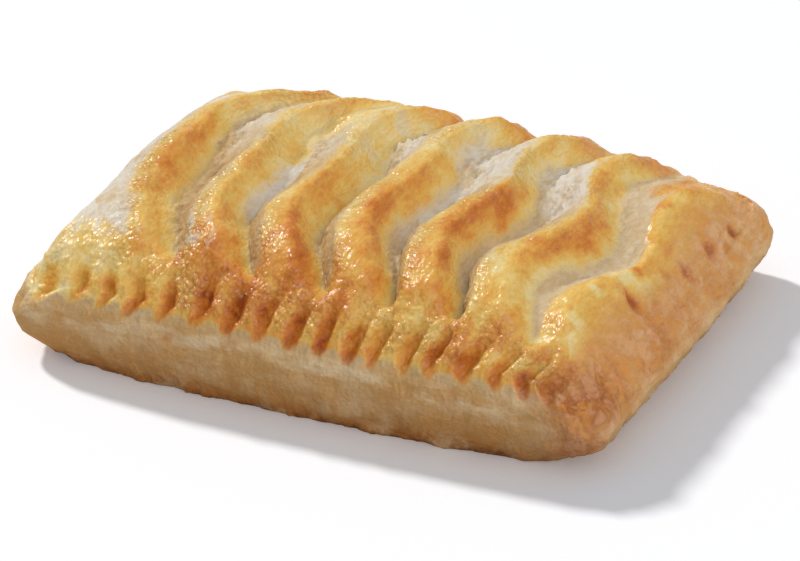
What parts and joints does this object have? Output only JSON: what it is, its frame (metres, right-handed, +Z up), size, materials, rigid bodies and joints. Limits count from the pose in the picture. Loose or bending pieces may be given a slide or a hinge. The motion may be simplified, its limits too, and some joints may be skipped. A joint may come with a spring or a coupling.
{
  "type": "baked puff pastry parcel",
  "caption": "Rectangular baked puff pastry parcel with a domed lid cut by wavy slashes, a crimped edge and a flat base.",
  "frame": {"origin": "middle of the base, on the surface that the parcel lies on", "axes": "+X along the long side towards the smooth end, +Y from the front crimps to the back, +Z up"},
  "size_m": [0.1418, 0.1066, 0.034],
  "materials": {
    "pastry": "golden baked dough with a soft egg-wash gloss on the strips and crimps, pale and matt in the slashes and on the side wall"
  },
  "bodies": {
    "root": {"pastry": "pastry"}
  },
  "joints": []
}
